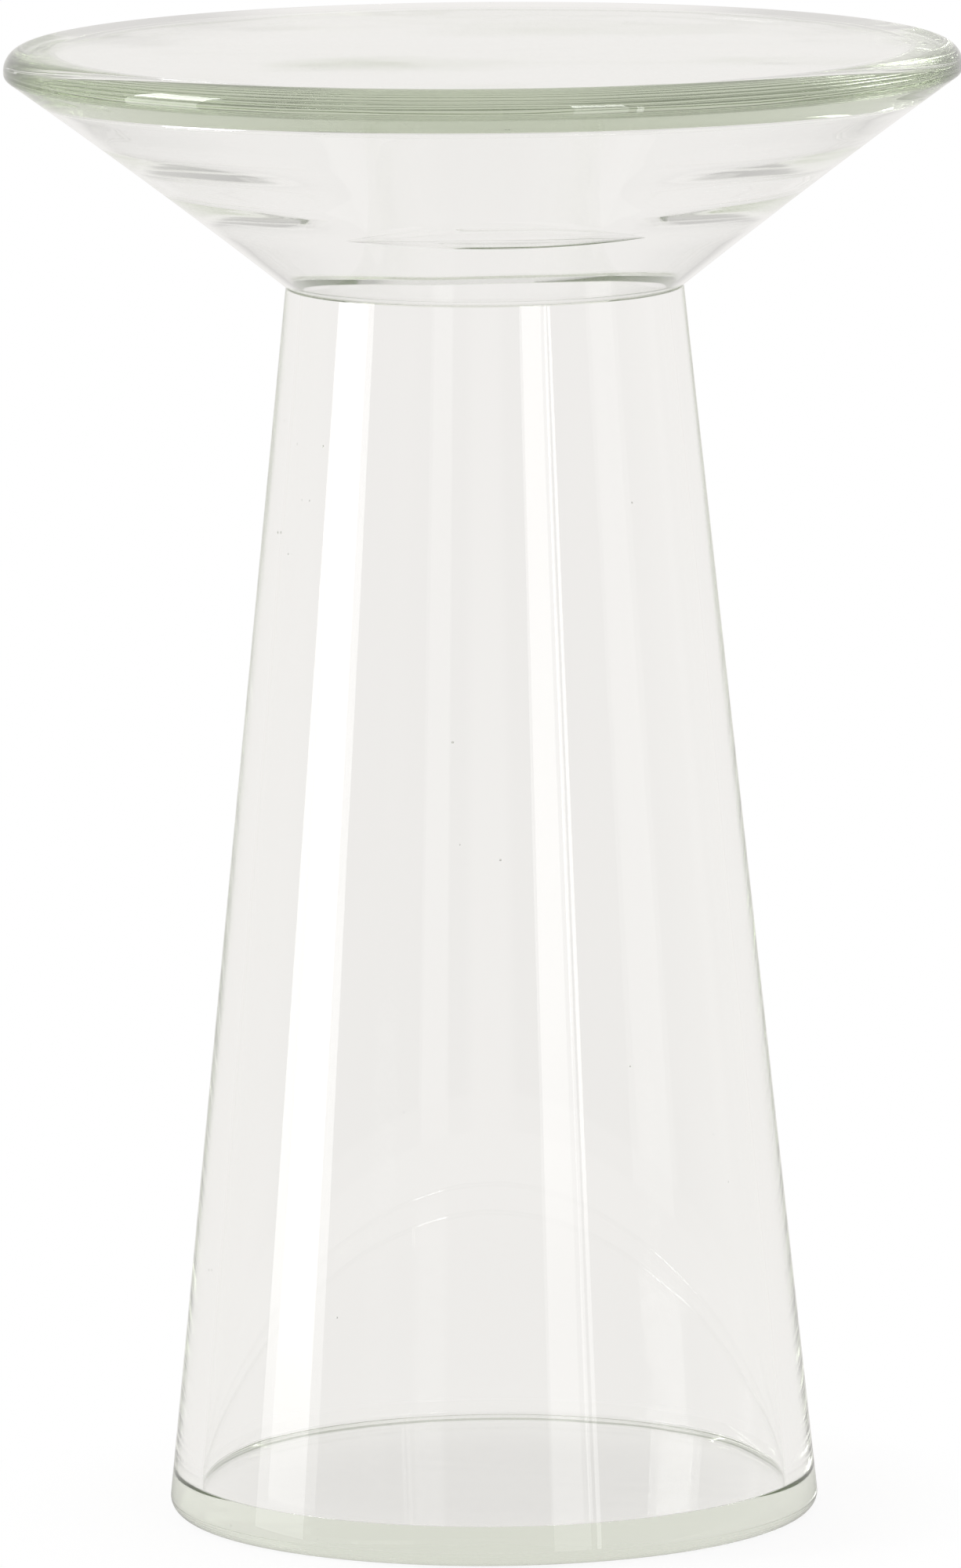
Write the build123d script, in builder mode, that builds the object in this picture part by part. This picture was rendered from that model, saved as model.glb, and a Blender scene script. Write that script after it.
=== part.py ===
"""Blown glass drinks table: a hollow cone-shaped top bonded to a hollow tapered pedestal.

Both glass pieces were blown, cut from the blowpipe at the neck and ground flat there, so
each is open at the neck and the two meet face to face. The origin is at the centre of the
base, on the floor, with +Z up the axis. Each piece is a profile in the XZ plane, turned
through a full circle about that axis.
"""

from build123d import *
import os
from math import radians, tan

os.makedirs("parts", exist_ok=True)

# The table as a whole, in millimetres.
table_diameter = 304.8
table_height = 472.0
neck_height = 395.4  # where the cone's ground face is
neck_radius = 63.4
neck_wall = 5.2  # width of the ground faces at the neck

# The blown top: a flat surface, a round rim and a cone that narrows to the neck.
rim_round = 7.0  # from the flat surface to the widest circle
rim_underside = 1.0  # bevel from there to the cone
cone_angle = 37.3  # above the horizontal
plate_thickness = 10.5
rim_width = 11.4  # solid glass between the rim's widest circle and the air space
ceiling_corner = 3.5  # how much of the air space's upper corner the glass fills

# The blown pedestal: a straight taper with a thick floor.
base_radius = 104.6
base_edge = 3.0  # bevel where the side meets the foot
pedestal_floor = 11.5
floor_wall = 9.4  # the side wall gets thicker on its way down, to this at the floor
floor_corner = 0.5  # how much of the bore's lower corner the glass fills
kick_up = 1.2  # how far the underside is pushed in, inside its foot
kick_width = 2.0  # how far in from the foot the underside reaches that height
foot_width = 6.0  # from the base's edge to where the underside starts to rise

# The clear adhesive between the two ground faces, with the bead it leaves outside.
bond_thickness = 0.3
bead_size = 0.8

# The cone's outside runs up from the neck until it is as wide as the rim.
table_radius = table_diameter / 2
cone_slope = tan(radians(cone_angle))
cone_top = neck_height + (table_radius - neck_radius) * cone_slope

# The pedestal stops short of the neck by the bond's thickness.
pedestal_height = neck_height - bond_thickness
pedestal_taper = (base_radius - neck_radius) / pedestal_height
bore_top_radius = neck_radius - neck_wall
bore_floor_radius = base_radius - pedestal_floor * pedestal_taper - floor_wall


# The top, with its air space cut out of the solid of its outside.
with BuildPart() as table_top:
    with BuildSketch(Plane.XZ):
        with BuildLine():
            Polyline(
                (0, neck_height),
                (neck_radius, neck_height),
                (table_radius, cone_top),
                (table_radius, table_height),
                (0, table_height),
                close=True,
            )
        make_face()
        # In a sketch, Y is the direction that is Z in the part.
        chamfer(vertices().group_by(Axis.X)[-1].sort_by(Axis.Y)[0], length=rim_underside)
        fillet(vertices().group_by(Axis.X)[-1].sort_by(Axis.Y)[-1], radius=rim_round)
    revolve(axis=Axis.Z)

    ceiling_height = table_height - plate_thickness
    ceiling_radius = table_radius - rim_width
    with BuildSketch(Plane.XZ):
        with BuildLine():
            Polyline(
                (0, neck_height),
                (bore_top_radius, neck_height),
                (ceiling_radius, ceiling_height),
                (0, ceiling_height),
                close=True,
            )
        make_face()
        chamfer(vertices().sort_by(Axis.X)[-1], length=ceiling_corner)
    revolve(axis=Axis.Z, mode=Mode.SUBTRACT)
table_top.part.label = "table_top"

# The pedestal, with its bore cut down to the floor and its underside pushed in.
with BuildPart() as pedestal:
    with BuildSketch(Plane.XZ):
        with BuildLine():
            Polyline(
                (0, 0),
                (base_radius, 0),
                (neck_radius, pedestal_height),
                (0, pedestal_height),
                close=True,
            )
        make_face()
        chamfer(vertices().sort_by(Axis.X)[-1], length=base_edge)
    revolve(axis=Axis.Z)

    with BuildSketch(Plane.XZ):
        with BuildLine():
            Polyline(
                (0, pedestal_floor),
                (bore_floor_radius, pedestal_floor),
                (bore_top_radius, pedestal_height),
                (0, pedestal_height),
                close=True,
            )
        make_face()
        chamfer(vertices().sort_by(Axis.X)[-1], length=floor_corner)
    revolve(axis=Axis.Z, mode=Mode.SUBTRACT)

    hollow_radius = base_radius - foot_width
    with BuildSketch(Plane.XZ):
        with BuildLine():
            Polyline(
                (0, 0),
                (hollow_radius, 0),
                (hollow_radius - kick_width, kick_up),
                (0, kick_up),
                close=True,
            )
        make_face()
    revolve(axis=Axis.Z, mode=Mode.SUBTRACT)
pedestal.part.label = "pedestal"

# The bond: a thin ring between the faces, and a bead in the corner under the cone.
with BuildPart() as bond_ring:
    bead_on_pedestal = pedestal_height - bead_size
    bead_on_cone = neck_radius + bead_size
    with BuildSketch(Plane.XZ):
        with BuildLine():
            Polyline(
                (bore_top_radius, pedestal_height),
                (neck_radius, pedestal_height),
                (neck_radius + bead_size * pedestal_taper, bead_on_pedestal),
            )
            Line(
                (neck_radius + bead_size * pedestal_taper, bead_on_pedestal),
                (bead_on_cone, neck_height + bead_size * cone_slope),
            )
            Polyline(
                (bead_on_cone, neck_height + bead_size * cone_slope),
                (neck_radius, neck_height),
                (bore_top_radius, neck_height),
                (bore_top_radius, pedestal_height),
            )
        make_face()
    revolve(axis=Axis.Z)
bond_ring.part.label = "bond_ring"

export_step(table_top.part, "parts/table_top.step")
export_step(pedestal.part, "parts/pedestal.step")
export_step(bond_ring.part, "parts/bond_ring.step")
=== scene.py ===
"""Dresses a blown glass drinks table: a hollow top and a hollow pedestal, each a closed mesh turned
about the table's axis and made slightly uneven, and the clear bond between them, a closed ring."""

from math import atan2, ceil, cos, hypot, pi, radians, sin, tan

import bmesh
import bpy
from bpy.props import FloatProperty, FloatVectorProperty, IntProperty, PointerProperty
from mathutils import Euler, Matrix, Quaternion, Vector


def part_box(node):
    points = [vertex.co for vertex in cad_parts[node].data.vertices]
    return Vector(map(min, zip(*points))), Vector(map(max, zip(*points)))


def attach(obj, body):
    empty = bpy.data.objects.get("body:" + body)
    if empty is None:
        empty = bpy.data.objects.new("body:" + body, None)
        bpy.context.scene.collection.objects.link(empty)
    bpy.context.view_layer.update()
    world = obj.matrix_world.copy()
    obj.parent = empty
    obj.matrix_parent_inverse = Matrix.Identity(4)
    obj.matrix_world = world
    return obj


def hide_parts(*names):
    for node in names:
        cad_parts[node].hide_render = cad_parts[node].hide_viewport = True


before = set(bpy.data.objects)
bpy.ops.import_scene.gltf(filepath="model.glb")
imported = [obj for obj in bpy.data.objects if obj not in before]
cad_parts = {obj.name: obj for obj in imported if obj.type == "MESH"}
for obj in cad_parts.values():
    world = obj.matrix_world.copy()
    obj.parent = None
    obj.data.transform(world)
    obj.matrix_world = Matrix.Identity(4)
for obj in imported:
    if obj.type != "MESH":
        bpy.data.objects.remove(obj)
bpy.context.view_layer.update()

bl_info = {
    "name": "Blown Glass Drinks Table",
    "version": (1, 0, 0),
    "blender": (4, 5, 0),
    "location": "View3D > Sidebar > Glass Table",
    "description": "Builds a clear blown glass table from a hollow top and a hollow pedestal",
    "category": "Add Mesh",
}

MM = 0.001
TURN = 2 * pi
CRISP_EDGE = radians(40)  # an edge that turns further than this is shaded as a corner
RIM_STARTS = 0.87  # share of the top's height above which its rim carries tooling streaks

# Heights and radii that the frame settles, in metres.
TOP_LOW, TOP_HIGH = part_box("table_top")
PEDESTAL_LOW, PEDESTAL_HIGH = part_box("pedestal")
TABLE_RADIUS = (TOP_HIGH[0] - TOP_LOW[0]) / 2
TABLE_HEIGHT = TOP_HIGH[2]
NECK_HEIGHT = TOP_LOW[2]
PEDESTAL_HEIGHT = PEDESTAL_HIGH[2]
BASE_RADIUS = (PEDESTAL_HIGH[0] - PEDESTAL_LOW[0]) / 2


def linear(hex_colour):
    """Turns an sRGB hex colour such as "#EDEFEA" into linear red, green and blue."""
    channels = (int(hex_colour[i : i + 2], 16) / 255 for i in (1, 3, 5))
    return tuple(c / 12.92 if c <= 0.04045 else ((c + 0.055) / 1.055) ** 2.4 for c in channels)


def length(name, description, default, **limits):
    """A length in metres, shown in the scene's unit."""
    return FloatProperty(
        name=name, description=description, default=default, unit="LENGTH", precision=4, **limits
    )


def ratio(name, description, default):
    return FloatProperty(name=name, description=description, default=default, min=0)


def colour(name, description, hex_colour):
    return FloatVectorProperty(
        name=name,
        description=description,
        default=linear(hex_colour),
        subtype="COLOR",
        size=3,
        min=0,
        max=1,
    )


# ---------------------------------------------------------------- settings


class BlownTopSettings(bpy.types.PropertyGroup):
    rim_round: length("Rim round", "Radius from the flat surface to the widest circle", 7 * MM)
    rim_underside: length("Rim underside", "Smaller radius from there to the cone", 2.5 * MM)
    cone_angle: FloatProperty(
        name="Cone angle",
        description="Slope of the cone above the horizontal",
        default=radians(37.3),
        subtype="ANGLE",
    )
    neck_radius: length(
        "Neck radius", "Outside radius where the cone meets the pedestal", 63.4 * MM
    )
    plate: length("Plate", "Thickness of the flat table surface", 10.5 * MM)
    rim_width: length("Rim width", "Solid glass outside the air space's upper corner", 11.4 * MM)
    ceiling_round: length("Ceiling round", "Round where the plate meets the cone inside", 1.75 * MM)
    inner_play: length("Inner play", "Waviness of the inside, which no tool touched", 0.4 * MM)
    plate_calm: ratio("Plate calm", "Share of the inner play that the plate's underside has", 0.35)
    play_span: length("Play span", "Length of one wave in the inside", 90 * MM)
    draw: ratio("Draw", "How much longer the waves are up the glass than round it", 1.0)
    opening: length("Opening", "Radius of the opening cut at the neck", 58.2 * MM)
    cone_sag: length("Cone sag", "How far the hot cone sank in, halfway up", 0.7 * MM)
    wall_wave: length("Wall wave", "How far the inside of the cone swells and thins", 1.0 * MM)
    wave_span: length("Wave span", "Length of one such swelling up the cone", 28 * MM)
    blister_height: length(
        "Blister height", "Height of the long flat bubble in the front wall", 419 * MM
    )
    blister_length: length("Blister length", "Length of that bubble round the cone", 101 * MM)
    blister_width: length("Blister width", "Width of that bubble up the cone", 13 * MM)
    blister_depth: length("Blister depth", "Thickness of that bubble", 1.1 * MM)
    blister_aside: length("Blister aside", "How far round to the right its middle is", 4 * MM)
    wave_start: ratio("Wave start", "Where in a swelling the cone starts, as a share of one", 0.31)


class BlownPedestalSettings(bpy.types.PropertyGroup):
    neck_radius: length("Neck radius", "Outside radius at the ground upper face", 63.4 * MM)
    inner_play: length("Inner play", "Waviness of the bore, which no tool touched", 0.07 * MM)
    play_span: length("Play span", "Length of one wave round the bore", 40 * MM)
    draw: ratio("Draw", "How much longer the waves are up the glass than round it", 7.0)
    wall: length("Wall", "Width of the ground upper face", 5.2 * MM)
    floor_wall: length("Floor wall", "Thickness of the side wall at the floor", 9.4 * MM)
    floor: length("Floor", "Thickness of the closed floor", 11.5 * MM)
    widest_height: length("Widest height", "Where the frame's pedestal is widest", 3 * MM)
    base_round: length("Base round", "Radius of the outer edge at the floor", 4.5 * MM)
    floor_round: length("Inner round", "Radius where the bore meets the floor", 0.5 * MM)
    kick_up: length("Kick-up", "How far the underside is pushed in inside its foot", 2.4 * MM)
    foot_width: length("Foot width", "Width of the flat ring that stands on the ground", 6 * MM)
    kick_width: length("Kick width", "How gently the underside rises from the foot", 2 * MM)


class BondSettings(bpy.types.PropertyGroup):
    bead: length("Bead", "Size of the bead squeezed out under the cone", 0.1 * MM)
    play: length("Play", "Gap kept between the meshes of the glass and of the bond", 0.01 * MM)


class GlassSettings(bpy.types.PropertyGroup):
    glass_body: colour(
        "Glass body", "Colour that white light keeps after a long way in the glass", "#BCC9A6"
    )
    top_strength: ratio("Top strength", "Absorption per metre of the top's glass", 3.6)
    pedestal_strength: ratio(
        "Pedestal strength", "The same for the pedestal's, blown from another gather", 2.5
    )
    ground_haze: ratio("Ground haze", "Share of light that the bonded ground faces scatter", 0.08)
    seed_density: ratio("Seed density", "Tiny bubbles left in the glass, per square metre", 25)
    seed_size: length("Seed size", "Radius of the largest of them", 0.4 * MM)
    seed_depth: length("Seed depth", "How deep they lie under the surface", 1.4 * MM)
    streak_width: length("Streak width", "Width of one tooling streak round the rim", 2.0 * MM)
    streak_depth: length("Streak depth", "Depth of the tooling streaks round the rim", 0.009 * MM)
    segments: IntProperty(name="Segments", description="Steps round the axis", default=360, min=32)
    outer_play: length("Outer play", "Waviness of the fire-polished outside", 0.012 * MM)


class StageSettings(bpy.types.PropertyGroup):
    floor_colour: colour("Floor colour", "Plain pale floor", "#F4F4F2")
    floor_radius: length("Floor radius", "How far the round floor reaches", 0.2)
    backdrop_colour: colour(
        "Backdrop colour", "White of the backdrop and floor through glass", "#FFFDFB"
    )
    backdrop: ratio("Backdrop", "Brightness of the backdrop through glass", 0.905)
    # painted shade: the floor seen through glass is dimmed to this share under the pedestal
    under_table: ratio("Under table", "Share of that left under the pedestal, which shades it", 0.8)
    mirrored: ratio("Mirrored", "Brightness of the backdrop as a reflection", 0.88)
    floor_mirrored: ratio("Floor mirrored", "Brightness of the floor as a reflection", 0.3)
    ground: ratio("Ground", "Brightness of the ground round the table's floor", 0.7)
    far_ground: ratio("Far ground", "Brightness of the ground away from the table", 0.55)
    camera_side: ratio("Camera side", "Brightness of the room behind the camera", 0.8)
    camera_distance: length("Camera distance", "From the table's axis to the camera", 4.572)
    camera_height: length("Camera height", "Above the floor", 0.9059)
    camera_aside: length("Camera aside", "To the left of the table's axis", -2.6 * MM)
    camera_pitch: FloatProperty(
        name="Camera pitch",
        description="How far the camera looks down",
        default=radians(8.353),
        subtype="ANGLE",
    )
    camera_roll: FloatProperty(
        name="Camera roll",
        description="How far the camera leans",
        default=radians(-0.45),
        subtype="ANGLE",
    )
    focal_length: FloatProperty(
        name="Focal length", description="Lens, in millimetres", default=331.7, unit="CAMERA"
    )


# ---------------------------------------------------------------- profiles and lathe


def rounded_outline(corners, step):
    """A profile through (radius, height, round) corners, with arcs at the rounds.

    Straight runs are divided so that no step is longer than the one given, which leaves
    enough points for the glass to be made uneven.
    """
    places = [Vector(c[:2]) for c in corners]
    line = [places[0]]
    for before, here, after, corner in zip(places, places[1:], places[2:], corners[1:]):
        rounding = corner[2]
        if rounding == 0:
            line.append(here)
            continue
        back = (before - here).normalized()
        ahead = (after - here).normalized()
        half = back.angle(ahead) / 2
        centre = here + (back + ahead).normalized() * rounding / sin(half)
        start = here + back * rounding / tan(half) - centre
        sweep = start.angle_signed(here + ahead * rounding / tan(half) - centre)
        first = atan2(start.y, start.x)
        count = max(6, ceil(abs(sweep) / radians(5)))
        for i in range(count + 1):
            angle = first - sweep * i / count
            line.append(centre + Vector((cos(angle), sin(angle))) * rounding)
    line.append(places[-1])

    outline = [line[0]]
    for start, end in zip(line, line[1:]):
        pieces = max(1, ceil((end - start).length / step))
        outline += [start.lerp(end, i / pieces) for i in range(1, pieces + 1)]
    return outline


def lathe(name, outline, segments, closed=False):
    """Turns a profile about the axis into a closed mesh with its faces outwards."""
    mesh = bmesh.new()
    rings = []
    for radius, height in outline:
        if radius < 1e-7:
            rings.append([mesh.verts.new((0, 0, height))])
            continue
        angles = (TURN * i / segments for i in range(segments))
        rings.append([mesh.verts.new((radius * cos(a), radius * sin(a), height)) for a in angles])
    pairs = list(zip(rings, rings[1:]))
    if closed:
        pairs.append((rings[-1], rings[0]))
    for low, high in pairs:
        for i in range(segments):
            j = (i + 1) % segments
            if len(low) == 1:
                mesh.faces.new((low[0], high[i], high[j]))
            elif len(high) == 1:
                mesh.faces.new((low[j], low[i], high[0]))
            else:
                mesh.faces.new((low[j], low[i], high[i], high[j]))
    bmesh.ops.recalc_face_normals(mesh, faces=mesh.faces)
    data = bpy.data.meshes.new(name)
    mesh.to_mesh(data)
    mesh.free()
    piece = bpy.data.objects.new(name, data)
    bpy.context.scene.collection.objects.link(piece)
    return piece


def swell_cone(piece, low, high, wave, span, start):
    """Lets the inside of a cone swell and thin up its two sides, where it was paddled.

    The swelling fades out towards the neck, the plate, and the front and back.
    """
    near_face = 1.2 * MM  # the sagged inside lies within this of its straight line
    side_start, side_fade = 0.35, 0.35  # sideways, as shares of the radius
    middle, half_height = 0.57, 0.33  # up the cone, as shares of its length
    inside = high - low
    reach, inside = inside.length, inside.normalized()
    for vertex in piece.data.vertices:
        radius = hypot(vertex.co.x, vertex.co.y)
        out = Vector((radius, vertex.co.z)) - low
        along = out.dot(inside)
        if abs(out.cross(inside)) > near_face or not 0 < along < reach:
            continue
        sideways = min(1, max(0, (abs(vertex.co.x) / radius - side_start) / side_fade))
        turn = TURN * (along / span + start)
        swell = cos(pi / 2 * min(1, abs(along / reach - middle) / half_height)) ** 2
        swell *= -wave * (sin(turn) - sin(3 * turn) / 9) * sideways * sideways * (3 - 2 * sideways)
        scale = 1 - inside.y * swell / radius
        vertex.co = (vertex.co.x * scale, vertex.co.y * scale, vertex.co.z + inside.x * swell)


def blister(piece, centre, slope, length_round, width, depth, aside):
    """Adds a long flat bubble to a cone's wall: a closed void with its faces turned inwards."""
    stations, around = 64, 16
    droop = 3.1 * MM  # how far its two ends lie below its middle
    up = Vector((cos(slope), sin(slope)))
    inwards = Vector((-sin(slope), cos(slope)))
    mesh = bmesh.new()
    mesh.from_mesh(piece.data)
    rings = []
    for i in range(stations + 1):
        share = 2 * i / stations - 1
        swell = 1 - share * share
        angle = (share * length_round / 2 + aside) / centre.x - pi / 2
        middle = centre - up * droop * share * share
        ring = []
        for j in range(around if 0 < i < stations else 1):
            turn = TURN * j / around
            place = middle + up * (width / 2 * swell * cos(turn))
            place += inwards * (depth / 2 * swell * sin(turn))
            ring.append(mesh.verts.new((place.x * cos(angle), place.x * sin(angle), place.y)))
        rings.append(ring)
    faces = []
    for low, high in zip(rings, rings[1:]):
        for j in range(around):
            k = (j + 1) % around
            corners = [low[j % len(low)], high[j % len(high)]]
            corners += [high[k % len(high)], low[k % len(low)]]
            faces.append(mesh.faces.new(list(dict.fromkeys(corners))))
    bmesh.ops.recalc_face_normals(mesh, faces=faces)
    bmesh.ops.reverse_faces(mesh, faces=faces)
    mesh.to_mesh(piece.data)
    mesh.free()


def mark(piece, name, domain, value_at):
    """Stores a number on each point or face, worked out from its radius and height."""
    layer = piece.data.attributes.new(name, "FLOAT", domain)
    items = piece.data.vertices if domain == "POINT" else piece.data.polygons
    for i, item in enumerate(items):
        place = item.co if domain == "POINT" else item.center
        layer.data[i].value = value_at(hypot(place.x, place.y), place.z)


# ---------------------------------------------------------------- geometry nodes


def add(tree, kind, links=(), **settings):
    """Adds a node with its settings, links into it, and returns it."""
    node = tree.nodes.new(kind)
    values = settings.pop("values", {})
    for key, value in settings.items():
        setattr(node, key, value)
    for key, value in values.items():
        node.inputs[key].default_value = value
    for key, source in links:
        tree.links.new(source, node.inputs[key])
    return node


def uneven_glass_tree():
    """Moves the points of a blown piece along their normals by slow noise, and leaves seeds,
    the glassblower's word for tiny bubbles, in its walls.

    The play attributes say how far each point may move, so ground faces stay flat.
    """
    tree = bpy.data.node_groups.new("uneven_glass", "GeometryNodeTree")
    face = tree.interface
    face.new_socket("Geometry", in_out="INPUT", socket_type="NodeSocketGeometry")
    sizes = ("Outer Play", "Inner Play", "Play Span", "Draw")
    sizes += ("Seed Density", "Seed Size", "Seed Depth")
    for name in sizes:
        face.new_socket(name, in_out="INPUT", socket_type="NodeSocketFloat")
    face.new_socket("Seed", in_out="INPUT", socket_type="NodeSocketInt")
    face.new_socket("Glass", in_out="INPUT", socket_type="NodeSocketMaterial")
    face.new_socket("Bonded Face", in_out="INPUT", socket_type="NodeSocketMaterial")
    face.new_socket("Geometry", in_out="OUTPUT", socket_type="NodeSocketGeometry")
    given = add(tree, "NodeGroupInput").outputs

    outer = add(tree, "GeometryNodeInputNamedAttribute", values={"Name": "outer_play"})
    inner = add(tree, "GeometryNodeInputNamedAttribute", values={"Name": "inner_play"})
    bonded = add(tree, "GeometryNodeInputNamedAttribute", values={"Name": "bonded"})
    reach_out = add(
        tree,
        "ShaderNodeMath",
        [(0, outer.outputs["Attribute"]), (1, given["Outer Play"])],
        operation="MULTIPLY",
    )
    reach_in = add(
        tree,
        "ShaderNodeMath",
        [(0, inner.outputs["Attribute"]), (1, given["Inner Play"])],
        operation="MULTIPLY",
    )
    reach = add(
        tree,
        "ShaderNodeMath",
        [(0, reach_out.outputs[0]), (1, reach_in.outputs[0])],
        operation="ADD",
    )

    place = add(tree, "GeometryNodeInputPosition")
    long_span = add(
        tree, "ShaderNodeMath", [(0, given["Play Span"]), (1, given["Draw"])], operation="MULTIPLY"
    )
    spans = add(
        tree,
        "ShaderNodeCombineXYZ",
        [("X", given["Play Span"]), ("Y", given["Play Span"]), ("Z", long_span.outputs[0])],
    )
    in_spans = add(
        tree,
        "ShaderNodeVectorMath",
        [(0, place.outputs[0]), (1, spans.outputs[0])],
        operation="DIVIDE",
    )
    noise = add(
        tree,
        "ShaderNodeTexNoise",
        [("Vector", in_spans.outputs[0]), ("W", given["Seed"])],
        noise_dimensions="4D",
        normalize=False,
        values={"Scale": 1.0, "Detail": 1.5, "Roughness": 0.45},
    )
    step = add(
        tree,
        "ShaderNodeMath",
        [(0, noise.outputs["Fac"]), (1, reach.outputs[0])],
        operation="MULTIPLY",
    )
    normal = add(tree, "GeometryNodeInputNormal")
    shift = add(
        tree,
        "ShaderNodeVectorMath",
        [(0, normal.outputs[0]), ("Scale", step.outputs[0])],
        operation="SCALE",
    )
    moved = add(
        tree,
        "GeometryNodeSetPosition",
        [("Geometry", given["Geometry"]), ("Offset", shift.outputs[0])],
    )
    scattered = add(
        tree,
        "GeometryNodeDistributePointsOnFaces",
        [("Mesh", moved.outputs[0]), ("Density", given["Seed Density"]), ("Seed", given["Seed"])],
    )
    depth = add(
        tree,
        "ShaderNodeMath",
        [(0, given["Seed Depth"])],
        operation="MULTIPLY",
        values={1: -1.0},
    )
    sunk = add(
        tree,
        "ShaderNodeVectorMath",
        [(0, scattered.outputs["Normal"]), ("Scale", depth.outputs[0])],
        operation="SCALE",
    )
    inside = add(
        tree,
        "GeometryNodeSetPosition",
        [("Geometry", scattered.outputs["Points"]), ("Offset", sunk.outputs[0])],
    )
    # A seed's point carries the mark of the face it came from, and would spread it when joined.
    plain = add(
        tree,
        "GeometryNodeRemoveAttribute",
        [("Geometry", inside.outputs[0])],
        values={"Name": "bonded"},
    )
    bubble = add(
        tree,
        "GeometryNodeMeshIcoSphere",
        [("Radius", given["Seed Size"])],
        values={"Subdivisions": 3},
    )
    hollow = add(tree, "GeometryNodeFlipFaces", [("Mesh", bubble.outputs["Mesh"])])
    size = add(
        tree,
        "FunctionNodeRandomValue",
        [("Seed", given["Seed"])],
        data_type="FLOAT",
        values={2: 0.4, 3: 1.0},
    )
    seeds = add(
        tree,
        "GeometryNodeInstanceOnPoints",
        [("Points", plain.outputs[0]), ("Instance", hollow.outputs[0]), ("Scale", size.outputs[1])],
    )
    both = add(tree, "GeometryNodeJoinGeometry", [("Geometry", moved.outputs[0])])
    tree.links.new(seeds.outputs[0], both.inputs[0])
    real = add(tree, "GeometryNodeRealizeInstances", [("Geometry", both.outputs[0])])
    glazed = add(
        tree,
        "GeometryNodeSetMaterial",
        [("Geometry", real.outputs[0]), ("Material", given["Glass"])],
    )
    wetted = add(
        tree,
        "GeometryNodeSetMaterial",
        [
            ("Geometry", glazed.outputs[0]),
            ("Selection", bonded.outputs["Attribute"]),
            ("Material", given["Bonded Face"]),
        ],
    )
    add(tree, "NodeGroupOutput", [(0, wetted.outputs[0])])
    return tree


def run_tree(piece, tree, values):
    """Runs a node tree on a piece with the inputs given by name, and keeps the plain mesh."""
    modifier = piece.modifiers.new(tree.name, "NODES")
    modifier.node_group = tree
    for item in tree.interface.items_tree:
        if item.in_out == "INPUT" and item.name in values:
            modifier[item.identifier] = values[item.name]
    graph = bpy.context.evaluated_depsgraph_get()
    result = bpy.data.meshes.new_from_object(
        piece.evaluated_get(graph), preserve_all_data_layers=True, depsgraph=graph
    )
    piece.modifiers.remove(modifier)
    piece.data = result
    for name in ("outer_play", "inner_play", "bonded"):
        if name in result.attributes:
            result.attributes.remove(result.attributes[name])
    for polygon in result.polygons:
        polygon.use_smooth = True
    result.set_sharp_from_angle(angle=CRISP_EDGE)


# ---------------------------------------------------------------- materials


def tint_body(tree, settings, strength):
    """Gives a material the faint green that iron leaves in the body of soda-lime glass."""
    body = add(
        tree,
        "ShaderNodeVolumeAbsorption",
        values={"Color": (*settings.glass_body, 1), "Density": strength},
    )
    tree.links.new(body.outputs[0], tree.nodes["Material Output"].inputs["Volume"])


def soda_lime_glass(name, settings, strength, streaked_above):
    """Soda-lime glass, gathered, blown and fire-polished: clear, with a green body that shows
    only where light goes a long way through it, as along the plate and round the rim."""
    material = bpy.data.materials.new(name)
    material.use_nodes = True
    tree = material.node_tree
    shader = tree.nodes["Principled BSDF"]
    shader.inputs["Base Color"].default_value = (1, 1, 1, 1)
    shader.inputs["Transmission Weight"].default_value = 1
    shader.inputs["Roughness"].default_value = 0
    shader.inputs["IOR"].default_value = 1.52
    place = add(tree, "ShaderNodeTexCoord")
    ripple = add(
        tree,
        "ShaderNodeTexNoise",
        [("Vector", place.outputs["Object"])],
        values={"Scale": 1 / 0.022, "Detail": 1.0, "Roughness": 0.4},
    )
    bump = add(
        tree,
        "ShaderNodeBump",
        [("Height", ripple.outputs["Fac"])],
        values={"Strength": 1.0, "Distance": 0.004 * MM},
    )
    turned = add(
        tree,
        "ShaderNodeMapping",
        [("Vector", place.outputs["Object"])],
        values={"Scale": (1 / 0.035, 1 / 0.035, 1 / settings.streak_width)},
    )
    streak = add(
        tree,
        "ShaderNodeTexNoise",
        [("Vector", turned.outputs[0])],
        values={"Scale": 1.0, "Detail": 1.0, "Roughness": 0.5, "Distortion": 0.5},
    )
    axes = add(tree, "ShaderNodeSeparateXYZ", [(0, place.outputs["Object"])])
    on_rim = add(
        tree,
        "ShaderNodeMapRange",
        [("Value", axes.outputs["Z"])],
        values={"From Min": streaked_above, "From Max": streaked_above + 2 * MM},
    )
    streaks = add(
        tree,
        "ShaderNodeBump",
        [
            ("Strength", on_rim.outputs[0]),
            ("Height", streak.outputs["Fac"]),
            ("Normal", bump.outputs["Normal"]),
        ],
        values={"Distance": settings.streak_depth},
    )
    tree.links.new(streaks.outputs["Normal"], shader.inputs["Normal"])
    tint_body(tree, settings, strength)
    return material


def wetted_face(name, settings, strength):
    """A ground face filled by the clear adhesive: light passes it as if it weren't there."""
    material = bpy.data.materials.new(name)
    material.use_nodes = True
    tree = material.node_tree
    tree.nodes.remove(tree.nodes["Principled BSDF"])
    clear = add(tree, "ShaderNodeBsdfTransparent", values={"Color": (1, 1, 1, 1)})
    tree.links.new(clear.outputs[0], tree.nodes["Material Output"].inputs["Surface"])
    tint_body(tree, settings, strength)
    return material


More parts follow.
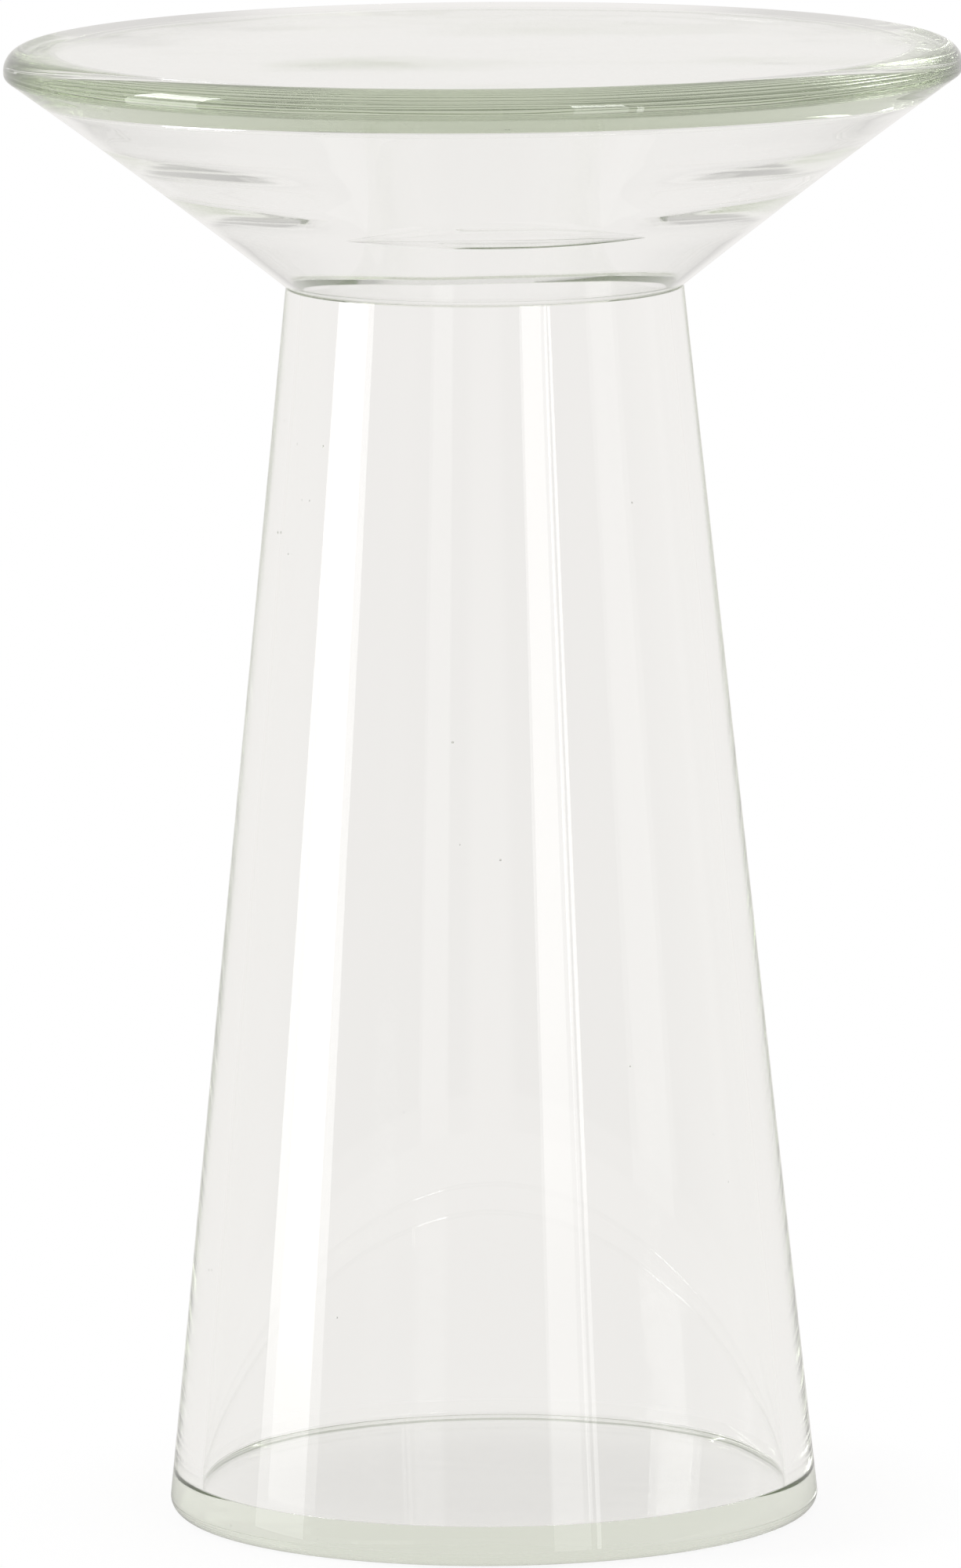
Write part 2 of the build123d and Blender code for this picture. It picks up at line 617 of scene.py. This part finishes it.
def hazy_ground_face(name, settings, strength):
    """The ground faces where the adhesive holds them: it fills most of the grinding, and
    what it leaves unfilled still scatters a little light."""
    material = wetted_face(name, settings, strength)
    tree = material.node_tree
    clear = tree.nodes["Transparent BSDF"]
    haze = add(tree, "ShaderNodeBsdfTranslucent", values={"Color": (*linear("#FBFCFA"), 1)})
    both = add(
        tree,
        "ShaderNodeMixShader",
        [(1, clear.outputs[0]), (2, haze.outputs[0])],
        values={0: settings.ground_haze},
    )
    tree.links.new(both.outputs[0], tree.nodes["Material Output"].inputs["Surface"])
    return material


def clear_adhesive():
    """Cured acrylic adhesive: as clear as the glass, a little lower in index."""
    material = bpy.data.materials.new("clear_cured_adhesive")
    material.use_nodes = True
    shader = material.node_tree.nodes["Principled BSDF"]
    shader.inputs["Base Color"].default_value = (*linear("#F7F8F4"), 1)
    shader.inputs["Transmission Weight"].default_value = 1
    shader.inputs["Roughness"].default_value = 0.02
    shader.inputs["IOR"].default_value = 1.49
    return material


def once(name, make):
    """The material or tree of that name, made the first time it is asked for."""
    return bpy.data.materials.get(name) or bpy.data.node_groups.get(name) or make()


def finish_glass(piece, form, strength, seed):
    """Makes a lathed piece uneven, as its form's settings say, and gives it its glass."""
    glass = bpy.context.scene.table_glass
    rim = NECK_HEIGHT + (TABLE_HEIGHT - NECK_HEIGHT) * RIM_STARTS
    body = soda_lime_glass(f"{piece.name}_soda_lime", glass, strength, rim)
    wetted = wetted_face(f"{piece.name}_wetted_face", glass, strength)
    tree = once("uneven_glass", uneven_glass_tree)
    run_tree(
        piece,
        tree,
        {
            "Outer Play": glass.outer_play,
            "Inner Play": form.inner_play,
            "Play Span": form.play_span,
            "Draw": form.draw,
            "Seed": seed,
            "Seed Density": glass.seed_density,
            "Seed Size": glass.seed_size,
            "Seed Depth": glass.seed_depth,
            "Glass": body,
            "Bonded Face": wetted,
        },
    )


# ---------------------------------------------------------------- pieces


class GLASSTABLE_OT_blown_top(bpy.types.Operator):
    """Build the hollow blown top: flat plate, rounded rim and cone, open at the ground neck"""

    bl_idname = "glasstable.blown_top"
    bl_label = "Blown Top"

    def execute(self, context):
        top = context.scene.table_top
        glass = context.scene.table_glass
        bond_inner = context.scene.table_pedestal
        slope = tan(top.cone_angle)
        cone_top = NECK_HEIGHT + (TABLE_RADIUS - top.neck_radius) * slope
        ceiling = TABLE_HEIGHT - top.plate
        bond_edge = bond_inner.neck_radius - bond_inner.wall
        ceiling_corner = TABLE_RADIUS - top.rim_width
        outline_step = 3 * MM
        half_wall = 2.3 * MM  # of the cone, where the bubble lies
        mid_wall = 3 * MM  # level, from the cone's outside to the middle of its glass
        calm_height = 35 * MM  # above the ground neck, over which the unevenness sets in
        corners = [
            (0, TABLE_HEIGHT, 0),
            (TABLE_RADIUS, TABLE_HEIGHT, top.rim_round),
            (TABLE_RADIUS, cone_top, top.rim_underside),
            (top.neck_radius, NECK_HEIGHT, 0),
            (bond_edge, NECK_HEIGHT, 0),
            (top.opening, NECK_HEIGHT, 0),
            (ceiling_corner, ceiling, top.ceiling_round),
            (0, ceiling, 0),
        ]
        outline = rounded_outline(corners, outline_step)
        for point in outline:
            up = (point.y - NECK_HEIGHT) / (cone_top - NECK_HEIGHT)
            if 0 < up < 1:
                sag = top.cone_sag * 4 * up * (1 - up)
                point += Vector((-sin(top.cone_angle), cos(top.cone_angle))) * sag
        piece = lathe("table_top_glass", outline, glass.segments)
        swell_cone(
            piece,
            Vector((top.opening, NECK_HEIGHT)),
            Vector((ceiling_corner, ceiling)),
            top.wall_wave,
            top.wave_span,
            top.wave_start,
        )
        wall_middle = Vector(
            (top.neck_radius + (top.blister_height - NECK_HEIGHT) / slope, top.blister_height)
        ) + Vector((-sin(top.cone_angle), cos(top.cone_angle))) * half_wall
        blister(
            piece,
            wall_middle,
            top.cone_angle,
            top.blister_length,
            top.blister_width,
            top.blister_depth,
            top.blister_aside,
        )

        def wall_side(radius, height):
            """Where the middle of the glass lies, so inside and outside can be told apart."""
            on_cone = top.neck_radius + (height - NECK_HEIGHT) / slope - mid_wall
            return radius > on_cone or height > TABLE_HEIGHT - top.plate / 2

        def near_neck(height):
            return min(1, max(0, (height - NECK_HEIGHT) / calm_height))

        def loose(radius, height):
            """The plate's underside lay on the pad, and is calmer than the cone's inside."""
            if wall_side(radius, height):
                return 0.0
            return near_neck(height) * (top.plate_calm if height > ceiling - 3 * MM else 1)

        mark(piece, "outer_play", "POINT", lambda r, z: near_neck(z) * wall_side(r, z))
        mark(piece, "inner_play", "POINT", loose)
        mark(
            piece,
            "bonded",
            "FACE",
            lambda r, z: float(z < NECK_HEIGHT + 1e-6 and r > bond_edge),
        )
        finish_glass(piece, top, glass.top_strength, 3)
        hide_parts("table_top")
        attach(piece, "root")
        return {"FINISHED"}


class GLASSTABLE_OT_blown_pedestal(bpy.types.Operator):
    """Build the hollow blown pedestal: straight taper, thick floor and slightly raised underside"""

    bl_idname = "glasstable.blown_pedestal"
    bl_label = "Blown Pedestal"

    def execute(self, context):
        pedestal = context.scene.table_pedestal
        glass = context.scene.table_glass
        lean = (BASE_RADIUS - pedestal.neck_radius) / (PEDESTAL_HEIGHT - pedestal.widest_height)
        base = BASE_RADIUS + pedestal.widest_height * lean
        bore_top = pedestal.neck_radius - pedestal.wall
        bore_floor = base - pedestal.floor * lean - pedestal.floor_wall
        hollow = base - pedestal.foot_width
        outline_step = 5 * MM
        neck_calm, foot_calm = 8 * MM, 5 * MM  # heights over which the unevenness sets in
        corners = [
            (0, pedestal.kick_up, 0),
            (hollow - pedestal.kick_width, pedestal.kick_up, pedestal.kick_width),
            (hollow, 0, pedestal.kick_width),
            (base, 0, pedestal.base_round),
            (pedestal.neck_radius, PEDESTAL_HEIGHT, 0),
            (bore_top, PEDESTAL_HEIGHT, 0),
            (bore_floor, pedestal.floor, pedestal.floor_round),
            (0, pedestal.floor, 0),
        ]
        piece = lathe("pedestal_glass", rounded_outline(corners, outline_step), glass.segments)

        def outside(radius, height):
            middle = pedestal.neck_radius + (PEDESTAL_HEIGHT - height) * lean - pedestal.wall / 2
            return radius > middle or height < pedestal.floor / 2

        def loose(height):
            """Nothing moves at the ground upper face or where the foot stands."""
            below_neck = (PEDESTAL_HEIGHT - height) / neck_calm
            above_foot = height / foot_calm
            return min(1, max(0, min(below_neck, above_foot)))

        mark(piece, "outer_play", "POINT", lambda r, z: loose(z) * outside(r, z))
        mark(piece, "inner_play", "POINT", lambda r, z: loose(z) * (not outside(r, z)))
        mark(piece, "bonded", "FACE", lambda r, z: float(z > PEDESTAL_HEIGHT - 1e-6))
        finish_glass(piece, pedestal, glass.pedestal_strength, 8)
        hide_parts("pedestal")
        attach(piece, "root")
        return {"FINISHED"}


class GLASSTABLE_OT_bond_ring(bpy.types.Operator):
    """Build the ring of clear adhesive between the ground faces, with its bead under the cone"""

    bl_idname = "glasstable.bond_ring"
    bl_label = "Bond Ring"

    def execute(self, context):
        pedestal = context.scene.table_pedestal
        bond = context.scene.table_bond
        top = context.scene.table_top
        glass = context.scene.table_glass
        slope = tan(top.cone_angle)
        low = PEDESTAL_HEIGHT + bond.play
        high = NECK_HEIGHT - bond.play
        inner = pedestal.neck_radius - pedestal.wall
        outer = pedestal.neck_radius + bond.play
        outline = [
            Vector((inner, low)),
            Vector((outer, low)),
            Vector((outer + bond.bead * 0.11, low - bond.bead)),
            Vector((outer + bond.bead * 0.3, low - bond.bead * 0.1)),
            Vector((outer + bond.bead, high + bond.bead * slope)),
            Vector((outer, high)),
            Vector((inner, high)),
        ]
        piece = lathe("bond_ring_adhesive", outline, glass.segments, closed=True)
        piece.data.materials.append(once("clear_cured_adhesive", clear_adhesive))
        ground = hazy_ground_face("bond_ring_ground_faces", glass, glass.top_strength)
        piece.data.materials.append(ground)
        for polygon in piece.data.polygons:
            polygon.use_smooth = True
            flat = abs(polygon.normal.z) > 0.99
            polygon.material_index = int(flat)
        piece.data.set_sharp_from_angle(angle=CRISP_EDGE)
        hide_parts("bond_ring")
        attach(piece, "root")
        return {"FINISHED"}


# ---------------------------------------------------------------- stage


def ray_level(tree, path, mirrored, backdrop):
    """How bright the plain surroundings are: 1 for the camera and for the light they give, a
    little less through glass, and the level given as a reflection."""
    reflected = add(
        tree,
        "ShaderNodeMapRange",
        [("Value", path.outputs["Is Glossy Ray"]), ("To Max", mirrored)],
        values={"To Min": 1.0},
    )
    return add(
        tree,
        "ShaderNodeMix",
        [(0, path.outputs["Is Transmission Ray"]), (2, reflected.outputs[0]), (3, backdrop)],
    )


def floor_material(settings):
    """Matt studio floor. The camera, and what it sees through glass or in it, gets it lifted
    towards white, and the object's shadow stays."""
    material = bpy.data.materials.new("studio_floor")
    material.use_nodes = True
    tree = material.node_tree
    shader = tree.nodes["Principled BSDF"]
    shader.inputs["Base Color"].default_value = (*settings.floor_colour, 1)
    shader.inputs["Roughness"].default_value = 0.9
    shader.inputs["Specular IOR Level"].default_value = 0.0
    path = add(tree, "ShaderNodeLightPath")
    place = add(tree, "ShaderNodeTexCoord")
    reach = add(tree, "ShaderNodeVectorMath", [(0, place.outputs["Object"])], operation="LENGTH")
    mirrored = add(
        tree,
        "ShaderNodeMapRange",
        [("Value", reach.outputs["Value"])],
        interpolation_type="SMOOTHSTEP",
        values={
            "From Min": 0.3 * settings.floor_radius,
            "From Max": 0.95 * settings.floor_radius,
            "To Min": settings.floor_mirrored,
            "To Max": settings.mirrored,
        },
    )
    backdrop = add(tree, "ShaderNodeValue")
    backdrop.outputs[0].default_value = settings.backdrop
    level = ray_level(tree, path, mirrored.outputs[0], backdrop.outputs[0])
    # painted shade: the floor seen through the glass is made darker under the pedestal, where its
    # shadow falls
    under = add(
        tree,
        "ShaderNodeMapRange",
        [("Value", reach.outputs["Value"])],
        interpolation_type="SMOOTHSTEP",
        values={
            "From Min": 0.2 * settings.floor_radius,
            "From Max": 0.62 * settings.floor_radius,
            "To Min": settings.under_table,
            "To Max": 1.0,
        },
    )
    level = add(
        tree, "ShaderNodeMath", [(0, level.outputs[0]), (1, under.outputs[0])], operation="MULTIPLY"
    )
    in_glass = add(
        tree,
        "ShaderNodeEmission",
        [("Strength", level.outputs[0])],
        values={"Color": (*settings.backdrop_colour, 1)},
    )
    direct = add(tree, "ShaderNodeEmission", values={"Color": (1, 1, 1, 1), "Strength": 1.0})
    white = add(
        tree,
        "ShaderNodeMixShader",
        [(0, path.outputs["Is Camera Ray"]), (1, in_glass.outputs[0]), (2, direct.outputs[0])],
    )
    seen = add(
        tree,
        "ShaderNodeMath",
        [(0, path.outputs["Is Camera Ray"]), (1, path.outputs["Is Glossy Ray"])],
        operation="MAXIMUM",
    )
    seen = add(
        tree,
        "ShaderNodeMath",
        [(0, seen.outputs[0]), (1, path.outputs["Is Transmission Ray"])],
        operation="MAXIMUM",
    )
    lift = add(
        tree,
        "ShaderNodeMapRange",
        [("Value", reach.outputs["Value"])],
        interpolation_type="SMOOTHSTEP",
        values={
            "From Min": 0.55 * settings.floor_radius,
            "From Max": 0.9 * settings.floor_radius,
            "To Min": 0.9,
            "To Max": 1.0,
        },
    )
    share = add(
        tree, "ShaderNodeMath", [(0, seen.outputs[0]), (1, lift.outputs[0])], operation="MULTIPLY"
    )
    mixed = add(
        tree,
        "ShaderNodeMixShader",
        [(0, share.outputs[0]), (1, shader.outputs[0]), (2, white.outputs[0])],
    )
    tree.links.new(mixed.outputs[0], tree.nodes["Material Output"].inputs["Surface"])
    return material


def studio_world(settings):
    """A pale studio: white behind the table and below it, and dim in front, where the camera
    stands, so that glass has something darker to show at its edges."""
    world = bpy.data.worlds.new("studio")
    world.use_nodes = True
    tree = world.node_tree
    shade = tree.nodes["Background"]
    shade.inputs["Color"].default_value = (*settings.backdrop_colour, 1)
    white = add(tree, "ShaderNodeBackground", values={"Color": (1, 1, 1, 1), "Strength": 1.0})
    place = add(tree, "ShaderNodeTexCoord")
    axes = add(tree, "ShaderNodeSeparateXYZ", [(0, place.outputs["Generated"])])
    depth = add(
        tree,
        "ShaderNodeMapRange",
        [("Value", axes.outputs["Y"])],
        interpolation_type="SMOOTHSTEP",
        values={"From Min": -0.35, "From Max": 0.35, "To Min": settings.camera_side, "To Max": 1.0},
    )
    up = add(
        tree,
        "ShaderNodeMapRange",
        [("Value", axes.outputs["Z"])],
        interpolation_type="SMOOTHSTEP",
        values={"From Min": 0.25, "From Max": 0.9, "To Min": 0.0, "To Max": 0.4},
    )
    down = add(
        tree,
        "ShaderNodeMapRange",
        [("Value", axes.outputs["Z"])],
        interpolation_type="SMOOTHSTEP",
        values={"From Min": -0.3, "From Max": -0.1, "To Min": 1.0, "To Max": 0.0},
    )
    room = depth
    for other in (up, down):
        room = add(
            tree,
            "ShaderNodeMath",
            [(0, room.outputs[0]), (1, other.outputs[0])],
            operation="MAXIMUM",
        )
    height = add(
        tree, "ShaderNodeMapRange", [("Value", axes.outputs["Z"])], values={"From Min": -1.0}
    )
    ground = add(tree, "ShaderNodeValToRGB", [(0, height.outputs[0])])
    ground.color_ramp.interpolation = "EASE"
    ground.color_ramp.elements.new(0.1)
    ground.color_ramp.elements.new(0.16)
    ground.color_ramp.elements.new(0.3)
    ground.color_ramp.elements.new(0.38)
    stops = (settings.ground, settings.ground, settings.far_ground, settings.far_ground, 1.0, 1.0)
    for element, stop in zip(ground.color_ramp.elements, stops):
        element.color = (stop, stop, stop, 1)
    aside = add(tree, "ShaderNodeMath", [(0, axes.outputs["X"])], operation="ABSOLUTE")
    open_ground = add(
        tree,
        "ShaderNodeMapRange",
        [("Value", aside.outputs[0]), ("To Max", ground.outputs[0])],
        interpolation_type="SMOOTHSTEP",
        values={"From Min": 0.1, "From Max": 0.22, "To Min": 1.0},
    )
    backdrop = add(
        tree,
        "ShaderNodeMath",
        [(0, open_ground.outputs[0])],
        operation="MULTIPLY",
        values={1: settings.backdrop},
    )
    path = add(tree, "ShaderNodeLightPath")
    mirrored = add(
        tree,
        "ShaderNodeMapRange",
        [("Value", axes.outputs["Z"])],
        interpolation_type="SMOOTHSTEP",
        values={
            "From Min": -0.97,
            "From Max": -0.82,
            "To Min": settings.floor_mirrored,
            "To Max": settings.mirrored,
        },
    )
    level = ray_level(tree, path, mirrored.outputs[0], backdrop.outputs[0])
    lit = add(
        tree,
        "ShaderNodeMath",
        [(0, room.outputs[0]), (1, level.outputs[0])],
        operation="MULTIPLY",
    )
    tree.links.new(lit.outputs[0], shade.inputs["Strength"])
    seen = add(
        tree,
        "ShaderNodeMixShader",
        [(0, path.outputs["Is Camera Ray"]), (1, shade.outputs[0]), (2, white.outputs[0])],
    )
    tree.links.new(seen.outputs[0], tree.nodes["World Output"].inputs["Surface"])
    return world


def softbox(name, azimuth, low, high, width, radiance, dim=1.0, fade=(0.0, 1.0)):
    """A tall soft light that faces the table. Azimuth is from the camera's side, to the right.

    Between the two heights of the fade, as shares of its own, it dims to the share given.
    """
    distance = 2.2
    data = bpy.data.lights.new(name, "AREA")
    data.shape = "RECTANGLE"
    data.size = width
    data.size_y = high - low
    data.energy = radiance * pi * width * (high - low)
    data.use_nodes = True
    tree = data.node_tree
    place = add(tree, "ShaderNodeNewGeometry")
    across = add(tree, "ShaderNodeSeparateXYZ", [("Vector", place.outputs["Parametric"])])
    strength = add(
        tree,
        "ShaderNodeMapRange",
        [("Value", across.outputs["Y"])],
        interpolation_type="SMOOTHSTEP",
        values={"From Min": fade[0], "From Max": fade[1], "To Min": dim, "To Max": 1.0},
    )
    tree.links.new(strength.outputs[0], tree.nodes["Emission"].inputs["Strength"])
    light = bpy.data.objects.new(name, data)
    light.location = Vector((sin(azimuth) * distance, -cos(azimuth) * distance, (low + high) / 2))
    light.rotation_euler = (pi / 2, 0, azimuth)
    light.visible_camera = False
    bpy.context.scene.collection.objects.link(light)
    return light


class GLASSTABLE_OT_stage(bpy.types.Operator):
    """Set up the plain floor, the soft studio light and the camera"""

    bl_idname = "glasstable.stage"
    bl_label = "Stage"

    def execute(self, context):
        scene = context.scene
        stage = scene.table_stage
        floor_gap = 0.3 * MM  # under the foot, so the two faces never share a plane
        bounces = 192  # light caught in a glass wall turns back and forth this often
        data = bpy.data.meshes.new("studio_floor")
        disc = bmesh.new()
        bmesh.ops.create_circle(disc, cap_ends=True, segments=96, radius=stage.floor_radius)
        bmesh.ops.translate(disc, verts=disc.verts, vec=(0, 0, -floor_gap))
        disc.to_mesh(data)
        disc.free()
        data.materials.append(floor_material(stage))
        floor = bpy.data.objects.new("studio_floor", data)
        scene.collection.objects.link(floor)

        scene.world = studio_world(stage)
        softbox("softbox_left", radians(-81), -0.2, 0.8, 0.86, 3.0, 0.35, (0.08, 0.29))
        softbox("softbox_right", radians(27), -0.2, 0.8, 0.5, 1.75, 0.5, (0.31, 0.42))
        softbox("softbox_edge", radians(36.3), -0.2, 0.8, 0.06, 4.0, 0.5, (0.31, 0.42))
        softbox("softbox_left_middle", radians(-81), 0.8, 1.1, 0.86, 0.7)
        softbox("softbox_right_middle", radians(27), 0.8, 1.1, 0.5, 1.1)
        softbox("softbox_left_top", radians(-81), 1.1, 1.9, 0.86, 11.0)
        softbox("softbox_right_top", radians(27), 1.1, 1.5, 0.5, 9.0)
        softbox("card_left", radians(-81), -1.2, -0.2, 0.86, 0.55)
        softbox("card_right", radians(27), -1.2, -0.2, 0.5, 0.55)

        camera_data = bpy.data.cameras.new("camera")
        camera_data.lens = stage.focal_length
        camera_data.sensor_width = 36
        camera_data.clip_end = 50
        camera = bpy.data.objects.new("camera", camera_data)
        camera.location = (stage.camera_aside, -stage.camera_distance, stage.camera_height)
        level = Euler((pi / 2 - stage.camera_pitch, 0, 0)).to_quaternion()
        camera.rotation_euler = (level @ Quaternion((0, 0, 1), stage.camera_roll)).to_euler()
        scene.collection.objects.link(camera)
        scene.camera = camera

        scene.view_settings.view_transform = "Standard"
        scene.cycles.max_bounces = bounces
        scene.cycles.transmission_bounces = bounces
        scene.cycles.glossy_bounces = bounces
        scene.cycles.transparent_max_bounces = 32
        return {"FINISHED"}


class GLASSTABLE_PT_panel(bpy.types.Panel):
    bl_label = "Glass Table"
    bl_idname = "GLASSTABLE_PT_panel"
    bl_space_type = "VIEW_3D"
    bl_region_type = "UI"
    bl_category = "Glass Table"

    def draw(self, context):
        for owner, settings, operators in GROUPS:
            box = self.layout.box()
            group = getattr(context.scene, owner)
            for name in settings.__annotations__:
                box.prop(group, name)
            for operator in operators:
                box.operator(operator.bl_idname)


GROUPS = [
    ("table_glass", GlassSettings, ()),
    ("table_top", BlownTopSettings, (GLASSTABLE_OT_blown_top,)),
    ("table_pedestal", BlownPedestalSettings, (GLASSTABLE_OT_blown_pedestal,)),
    ("table_bond", BondSettings, (GLASSTABLE_OT_bond_ring,)),
    ("table_stage", StageSettings, (GLASSTABLE_OT_stage,)),
]


def register():
    for owner, settings, operators in GROUPS:
        bpy.utils.register_class(settings)
        setattr(bpy.types.Scene, owner, PointerProperty(type=settings))
        for operator in operators:
            bpy.utils.register_class(operator)
    bpy.utils.register_class(GLASSTABLE_PT_panel)


def unregister():
    bpy.utils.unregister_class(GLASSTABLE_PT_panel)
    for owner, settings, operators in reversed(GROUPS):
        for operator in operators:
            bpy.utils.unregister_class(operator)
        delattr(bpy.types.Scene, owner)
        bpy.utils.unregister_class(settings)


def main():
    register()
    bpy.ops.glasstable.blown_top()
    bpy.ops.glasstable.blown_pedestal()
    bpy.ops.glasstable.bond_ring()
    bpy.ops.glasstable.stage()


if __name__ == "__main__":
    main()
